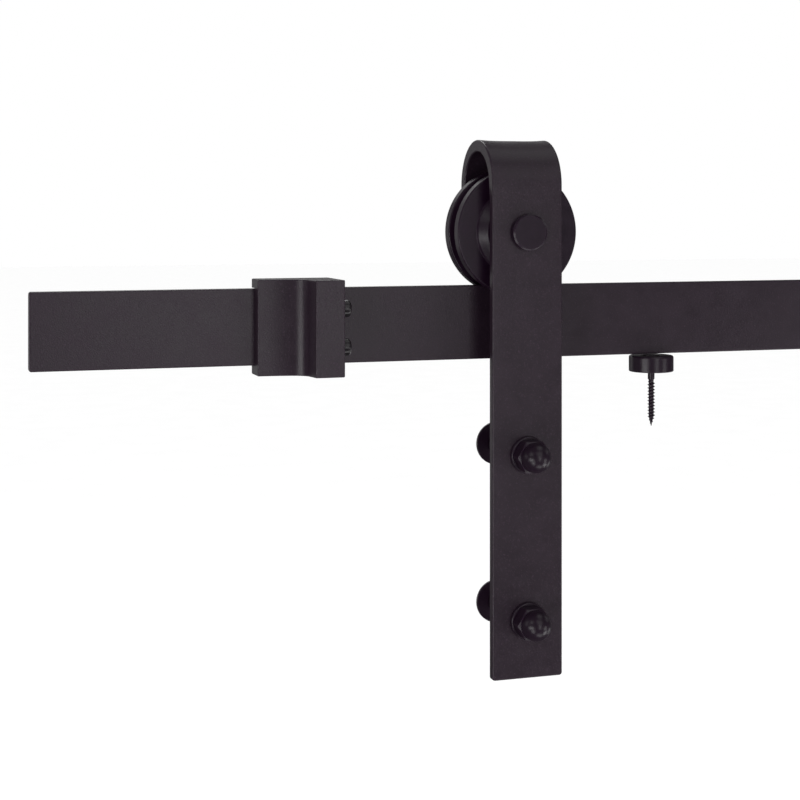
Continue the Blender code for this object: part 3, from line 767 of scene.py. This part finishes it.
def race_mesh(node, plain, shoulder, track):
    """A bearing race: plain on one side, with a round ball track on the other."""
    width = turned_size(node)[1]
    side = 1 if plain > shoulder else -1
    ball, reach, steps = 0.0025, math.radians(46), 6
    corners = [(plain, 0.0, 0.0005), (plain, width, 0.0005), (shoulder, width, 0.0002)]
    for k in range(2 * steps + 1):
        angle = reach * (1 - k / steps)
        radius = track - side * ball * (1 - math.cos(angle))
        corners.append((radius, width / 2 + ball * math.sin(angle), 0.0))
    corners.append((shoulder, 0.0, 0.0002))
    return loft("race", circles(corners, RACE_STEPS, 3, closed=True), closed=True)


def ball_cage_mesh():
    """Balls between two wavy pressed ribbons, with its origin at the middle of the bearing."""
    balls, pitch_radius, ball_radius, steps = 8, 0.010, 0.0024, 160
    inner, outer, sheet, bulge, half_gap = 0.0093, 0.0107, 0.0003, 0.0025, 0.00005
    shape = bmesh.new()
    for i in range(balls):
        turn = Matrix.Rotation(math.tau * i / balls, 4, "Z") @ Matrix.Translation((pitch_radius, 0.0, 0.0))
        bmesh.ops.create_uvsphere(shape, u_segments=28, v_segments=18, radius=ball_radius, matrix=turn)
    for up in (1, -1):
        rings = []
        for k in range(steps):
            angle = math.tau * k / steps
            wave = 0.5 + 0.5 * math.cos(balls * angle)
            near = up * (half_gap + bulge * wave ** 0.6)
            far = near + up * sheet
            section = ((inner, near), (outer, near), (outer, far), (inner, far))
            rings.append([(r * math.cos(angle), r * math.sin(angle), h) for r, h in section])
        add_loft(shape, rings, closed=True)
    return mesh_of("ball_cage", shape)


# ---------------------------------------------------------------- fasteners


def ring_mesh(name, node, bore, edge):
    """A washer, a spacer or a standoff. Its outer edges are rounded by the radius given."""
    radius, length = turned_size(node)
    inner_edge = 0.0003
    corners = [(bore, 0.0, inner_edge), (radius, 0.0, edge)]
    corners += [(radius, length, edge), (bore, length, inner_edge)]
    return loft(name, circles(corners, closed=True), closed=True)


def axle_bolt_mesh():
    """A flat round head with a fine chamfer, on a shank with a threaded tail."""
    radius, length = turned_size("left_axle_bolt")
    lead, thread_end, head_height = 0.0006, 0.0110, 0.004
    under_head = length - head_height
    rings = [circle(0.0, 0.0), circle(M10_TIP, 0.0)]
    rings += thread(lead, thread_end, M10, M10_CORE, M10_PITCH, machine_form)
    rings += [circle(M10, thread_end + lead), circle(M10, under_head)]
    head = [(M10, under_head, 0.0), (radius, under_head, 0.0003), (radius, length - 0.0006, 0.0002)]
    head += [(radius - 0.0009, length, 0.0002), (0.0, length, 0.0)]
    return loft("axle_bolt", rings + circles(head)[1:])


def thin_nut_mesh():
    """A thin nut, chamfered on both faces."""
    height = turned_size("left_axle_nut")[1]
    lead = 0.0005
    rings = [circle(BORE + lead, 0.0), hex_face(HEX, 0.0), hexagon(HEX, 0.0, -1)]
    rings += [hexagon(HEX, height, 1), hex_face(HEX, height), circle(BORE + lead, height)]
    rings += [circle(BORE, height - lead), circle(BORE, lead)]
    return loft("axle_nut", rings, closed=True)


def door_bolt_mesh():
    """An M10 hexagon bolt. Its head is at the back of the door and its thread ends in the cap nut."""
    length = turned_size("left_upper_door_bolt")[1]
    head, lead, thread_length = 0.0064, 0.0006, 0.0264
    dimple, dimple_depth = 0.0058, 0.0003
    rings = [circle(0.0, dimple_depth), circle(dimple, dimple_depth)]
    rings += [hex_face(HEX, 0.0), hexagon(HEX, 0.0, -1)]
    rings += [hexagon(HEX, head), circle(M10 + lead, head), circle(M10, head + lead)]
    rings += [circle(M10, length - thread_length - lead)]
    rings += thread(length - thread_length, length - lead, M10, M10_CORE, M10_PITCH, machine_form)
    rings += [circle(M10_TIP, length), circle(0.0, length)]
    return loft("door_bolt", rings)


def lag_bolt_mesh():
    """A coach screw: hexagon head, shank, and a coarse thread that tapers to a point."""
    low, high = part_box("left_wall_bolt")
    length = high.y - low.y
    across_flats = high.z - low.z
    radius, core, pitch, point = 0.0040, 0.0029, 0.0032, 0.009
    thread_end, shank_start, head_height = 0.050, 0.0515, 0.0055
    under_head = length - head_height
    rings = [circle(0.0, 0.0)]
    rings += thread(0.0, thread_end, radius, core, pitch, wood_form, point)
    rings += [circle(radius, shank_start), circle(radius, under_head), hexagon(across_flats, under_head)]
    rings += [hexagon(across_flats, length, 1), hex_face(across_flats, length), circle(0.0, length)]
    return loft("lag_bolt", rings)


def cap_nut_mesh():
    """An acorn nut: a chamfered hexagon, a short neck and a smooth dome, bored from its seat."""
    length = turned_size("left_upper_cap_nut")[1]
    dome, undercut, lead = 0.0080, 0.0004, 0.0006
    bolt_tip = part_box("left_upper_door_bolt")[0].y
    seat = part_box("left_upper_cap_nut")[1].y
    depth = seat - bolt_tip + GAP
    rings = [circle(0.0, depth), circle(BORE, depth - lead), circle(BORE, lead), circle(BORE + lead, 0.0)]
    rings += [hex_face(HEX, 0.0), hexagon(HEX, 0.0, -0.5)]
    rings += [hexagon(HEX, CAP_NUT_HEX, 1), hex_face(HEX, CAP_NUT_HEX)]
    neck = dome - undercut
    rings += circles([(dome, CAP_NUT_HEX, 0.0), (neck, CAP_NUT_HEX, 0.0), (neck, CAP_NUT_HEX + lead, 0.0)])
    centre, steps = length - dome, 18
    for k in range(steps + 1):
        angle = math.pi / 2 * k / steps
        rings.append(circle(dome * math.cos(angle), centre + dome * math.sin(angle)))
    return loft("cap_nut", rings)


def disc_mesh():
    """The anti-jump disc, counterbored for its screw."""
    low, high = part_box("left_anti_jump_disc")
    radius, height = (high.x - low.x) / 2, high.z - low.z
    bore, counterbore = 0.0028, 0.0055
    seat = height - 0.0035
    corners = [(bore, 0.0, 0.0003), (radius, 0.0, 0.0006), (radius, height, 0.0011)]
    corners += [(counterbore, height, 0.0004), (counterbore, seat, 0.0), (bore, seat, 0.0)]
    return loft("anti_jump_disc", circles(corners, RACE_STEPS, 5, closed=True), closed=True)


def disc_screw_mesh():
    """A pan head wood screw with a cross recess."""
    low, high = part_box("left_anti_jump_screw")
    length = high.z - low.z
    radius, core, pitch, point = 0.0022, 0.0014, 0.0018, 0.006
    thread_end, shank_start, shank = 0.0260, 0.0268, 0.0019
    head_radius, head_height, head_flat = 0.0050, 0.0028, 0.0030
    under_head = length - head_height
    rings = [circle(0.0, 0.0)]
    rings += thread(0.0, thread_end, radius, core, pitch, wood_form, point)
    rings += [circle(shank, shank_start), circle(shank, under_head)]
    head = [(shank, under_head, 0.0), (head_radius, under_head, 0.0003)]
    head += [(head_radius, length - 0.0006, 0.0012), (head_flat, length, 0.003), (0.0, length, 0.0)]
    screw = loft("anti_jump_screw", rings + circles(head, arc_steps=6)[1:])
    reach, half_slot, above = 0.0022, 0.0005, length + 0.001
    slots = [
        block("slot", (-reach, -half_slot, length - 0.0016), (reach, half_slot, above)),
        block("slot", (-half_slot, -reach, length - 0.00161), (half_slot, reach, above)),
    ]
    return applied(screw, [(slot, Matrix()) for slot in slots])


# ---------------------------------------------------------------- the pieces in place


def show_track(coat, steel, soft):
    stand_for(["rail"], rail_mesh(), coat, UPRIGHT, centre_of)
    stand_for(both("wall_standoff"), ring_mesh("standoff", "left_wall_standoff", FIXING_HOLE, 0.0008), coat)
    washer = ring_mesh("lag_washer", "left_wall_bolt_washer", WALL_BORE, 0.0005)
    stand_for(both("wall_bolt_washer"), washer, steel)
    stand_for(both("wall_bolt"), lag_bolt_mesh(), steel)
    bumper = bumper_mesh()
    for side, sign in SIDES.items():
        stand_for([f"{side}_stop_body"], stop_mesh(side), coat, UPRIGHT, stop_base)
        bumpers = [f"{side}_stop_{level}_bumper" for level in LEVELS]
        stand_for(bumpers, bumper, soft, (0.0, -sign * math.pi / 2, 0.0), outer_end)
    screws = [f"{side}_stop_{position}_set_screw" for side in SIDES for position in ("outer", "inner")]
    stand_for(screws, set_screw_mesh(), steel, UPRIGHT)


def on_axle(node):
    """The middle of a strap, at the height of the wheel's axle."""
    place = centre_of(node)
    place.z = centre_of("left_wheel").z
    return place


def show_hangers(coat, steel, black, bright):
    stand_for(both("hanger_strap"), strap_mesh(), coat, UPRIGHT, on_axle)
    stand_for(both("wheel"), wheel_mesh(), black)
    outer = race_mesh("left_bearing_outer_race", *OUTER_RACE)
    inner = race_mesh("left_bearing_inner_race", *INNER_RACE)
    stand_for(both("bearing_outer_race"), outer, bright)
    stand_for(both("bearing_inner_race"), inner, bright)
    stand_for(both("bearing_ball_cage"), ball_cage_mesh(), bright, FORWARD, centre_of)
    stand_for(both("axle_bolt"), axle_bolt_mesh(), steel)
    stand_for(both("axle_nut"), thin_nut_mesh(), steel)
    stand_for(both("axle_washer"), ring_mesh("axle_washer", "left_axle_washer", BORE, 0.0005), steel)
    spacer = ring_mesh("spacer", "left_front_spacer", BORE, 0.0006)
    stand_for(both("front_spacer") + both("rear_spacer"), spacer, steel)
    stand_for(all_four("door_bolt"), door_bolt_mesh(), steel)
    rear_washer = ring_mesh("rear_washer", "left_upper_rear_washer", BORE, 0.0005)
    stand_for(all_four("rear_washer"), rear_washer, steel)
    front_washer = ring_mesh("cap_nut_washer", "left_upper_cap_nut_washer", BORE, 0.0008)
    stand_for(all_four("cap_nut_washer"), front_washer, steel)
    stand_for(all_four("cap_nut"), cap_nut_mesh(), steel)
    stand_for(both("anti_jump_disc"), disc_mesh(), steel, UPRIGHT)
    stand_for(both("anti_jump_screw"), disc_screw_mesh(), steel, UPRIGHT)


# ---------------------------------------------------------------- studio


def set_world():
    """A dim, even room for the light, which the camera sees as a white backdrop."""
    world = bpy.data.worlds.new("studio")
    bpy.context.scene.world = world
    world.use_nodes = True
    tree = world.node_tree
    room = tree.nodes["Background"]
    room.inputs["Color"].default_value = (*ROOM, 1.0)
    backdrop = tree.nodes.new("ShaderNodeBackground")
    backdrop.inputs["Color"].default_value = (*BACKDROP, 1.0)
    rays = tree.nodes.new("ShaderNodeLightPath")
    choice = tree.nodes.new("ShaderNodeMixShader")
    tree.links.new(rays.outputs["Is Camera Ray"], choice.inputs["Fac"])
    tree.links.new(room.outputs[0], choice.inputs[1])
    tree.links.new(backdrop.outputs[0], choice.inputs[2])
    tree.links.new(choice.outputs[0], tree.nodes["World Output"].inputs["Surface"])


def add_floor(height):
    """A wide pale floor below the hanging hardware, lit by a lamp of its own, which lights nothing else."""
    shape = bmesh.new()
    bmesh.ops.create_grid(shape, x_segments=1, y_segments=1, size=FLOOR_SIZE)
    floor = bpy.data.objects.new("floor", mesh_of("floor", shape))
    floor.location.z = height
    floor.visible_diffuse = False
    floor.visible_glossy = False
    floor.visible_shadow = False
    n = Nodes("pale_floor")
    base = n.mix(n.noise(6, 3.0), FLOOR_DARK, FLOOR_LIGHT)
    n.finish(base, n.to_range(n.noise(40, 2.0), 0.3, 0.7, 0.75, 0.9), n.bump(n.noise(300, 2.0), 0.0001, 0.2))
    floor.data.materials.append(n.material)
    bpy.context.scene.collection.objects.link(floor)
    lit = bpy.data.collections.new("lit_by_the_floor_lamp")
    lit.objects.link(floor)
    lamp = bpy.data.lights.new("floor_lamp", "SUN")
    lamp.energy = FLOOR_LAMP
    lamp.angle = math.radians(90)
    light = bpy.data.objects.new("floor_lamp", lamp)
    light.light_linking.receiver_collection = lit
    bpy.context.scene.collection.objects.link(light)


def all_but_the_cap_nuts():
    """A collection of what a light with glare may reach."""
    lit = bpy.data.collections.new("all_but_the_cap_nuts")
    for obj in bpy.context.scene.collection.objects:
        if obj.type == "MESH" and not obj.name.endswith("cap_nut"):
            lit.objects.link(obj)
    return lit


def add_softbox(name, target, direction, size, power):
    """A soft light, placed by its direction from the target: degrees right of the front, and upwards."""
    azimuth, elevation = (math.radians(angle) for angle in direction)
    level = math.cos(elevation)
    way = Vector((math.sin(azimuth) * level, -math.cos(azimuth) * level, math.sin(elevation)))
    lamp = bpy.data.lights.new(name, "AREA")
    lamp.shape = "RECTANGLE"
    lamp.size, lamp.size_y = size
    lamp.energy = power
    light = bpy.data.objects.new(name, lamp)
    light.location = target + way * SOFTBOX_DISTANCE
    light.rotation_euler = way.to_track_quat("Z", "Y").to_euler()
    light.visible_camera = False
    if name in GLARING:
        light.light_linking.receiver_collection = all_but_the_cap_nuts()
    bpy.context.scene.collection.objects.link(light)


def add_camera(target):
    lens = bpy.data.cameras.new("camera")
    lens.lens = LENS
    lens.sensor_width = SENSOR
    lens.shift_y = CAMERA_SHIFT
    camera = bpy.data.objects.new("camera", lens)
    camera.location = target + Vector(CAMERA_PLACE)
    camera.rotation_euler = (math.pi / 2, 0.0, math.radians(CAMERA_TURN))
    bpy.context.scene.collection.objects.link(camera)
    bpy.context.scene.camera = camera


powder = powder_coat("powder_coat", POWDER, 0.33)
plated = black_steel("black_steel", PLATED, 0.30)
satin = wheel_black("wheel_black", WHEEL, 0.34)
ground = bearing_steel("bearing_steel", STEEL, 0.18)
elastic = rubber("rubber", RUBBER, 0.22)
show_track(powder, plated, elastic)
show_hangers(powder, plated, satin, ground)

hanger = centre_of("left_wheel")
set_world()
add_floor(CAD_BOX[0][2] - FLOOR_BELOW)
for name, azimuth, elevation, width, height, power in SOFTBOXES:
    add_softbox(name, hanger, (azimuth, elevation), (width, height), power)
add_camera(hanger)
bpy.context.scene.view_settings.view_transform = "Standard"
